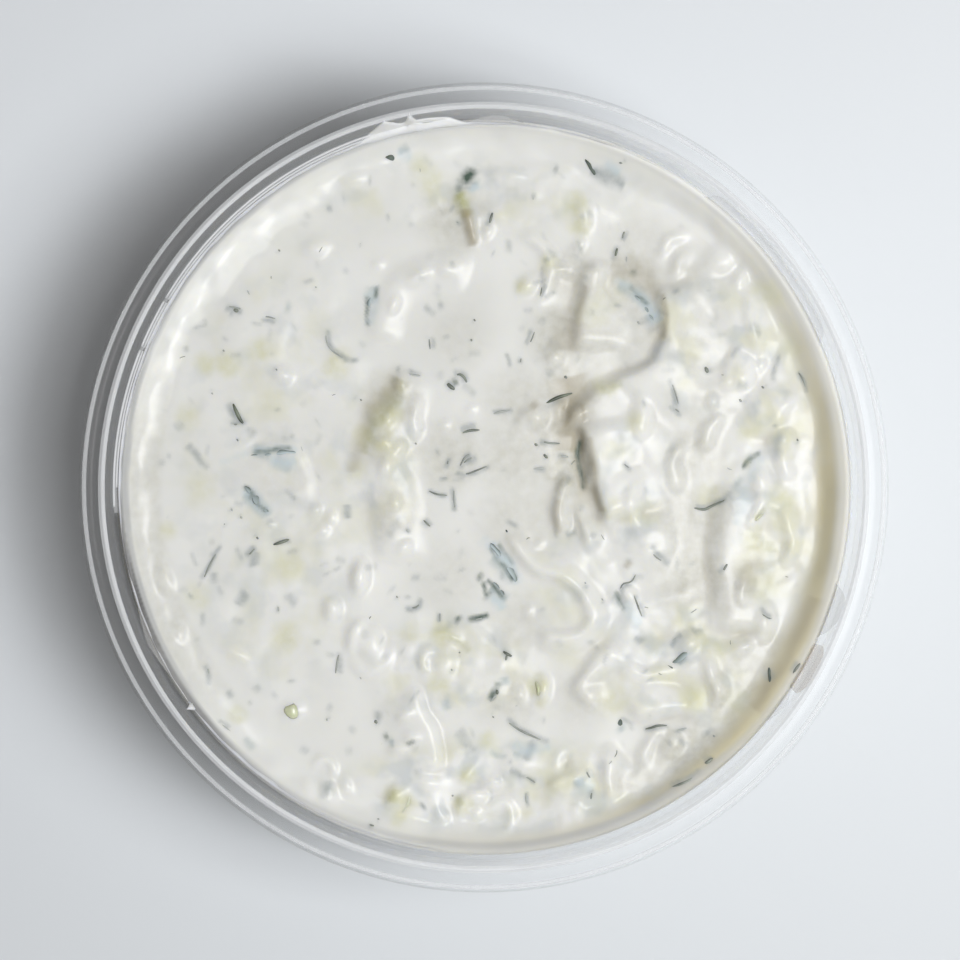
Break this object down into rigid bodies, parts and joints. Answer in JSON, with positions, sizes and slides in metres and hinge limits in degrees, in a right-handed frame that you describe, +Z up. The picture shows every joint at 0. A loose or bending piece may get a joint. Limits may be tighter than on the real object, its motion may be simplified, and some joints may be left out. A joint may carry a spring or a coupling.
{
  "type": "tzatziki dip in a round clear tub",
  "caption": "Creamy yoghurt dip with grated cucumber and dill, filling a round clear plastic deli tub with a stepped rim.",
  "frame": {"origin": "on the floor, under the middle of the tub", "axes": "+Z up, out of the tub's open mouth; the tub is round about Z, and +X and +Y only place the relief and toppings of the dip"},
  "size_m": [0.117, 0.117, 0.046],
  "materials": {
    "clear_plastic": "clear smooth moulded polypropylene, thin walled",
    "yoghurt": "wet strained yoghurt with coated shreds of grated cucumber, soft gloss",
    "dill": "wet chopped dill fronds, dark grey green",
    "cucumber_skin": "wet shredded cucumber skin, green, thinly coated with yoghurt",
    "cucumber_flesh": "wet translucent cucumber flesh, pale yellow green"
  },
  "bodies": {
    "root": {"tub": "clear_plastic", "dip": "yoghurt"}
  },
  "joints": []
}
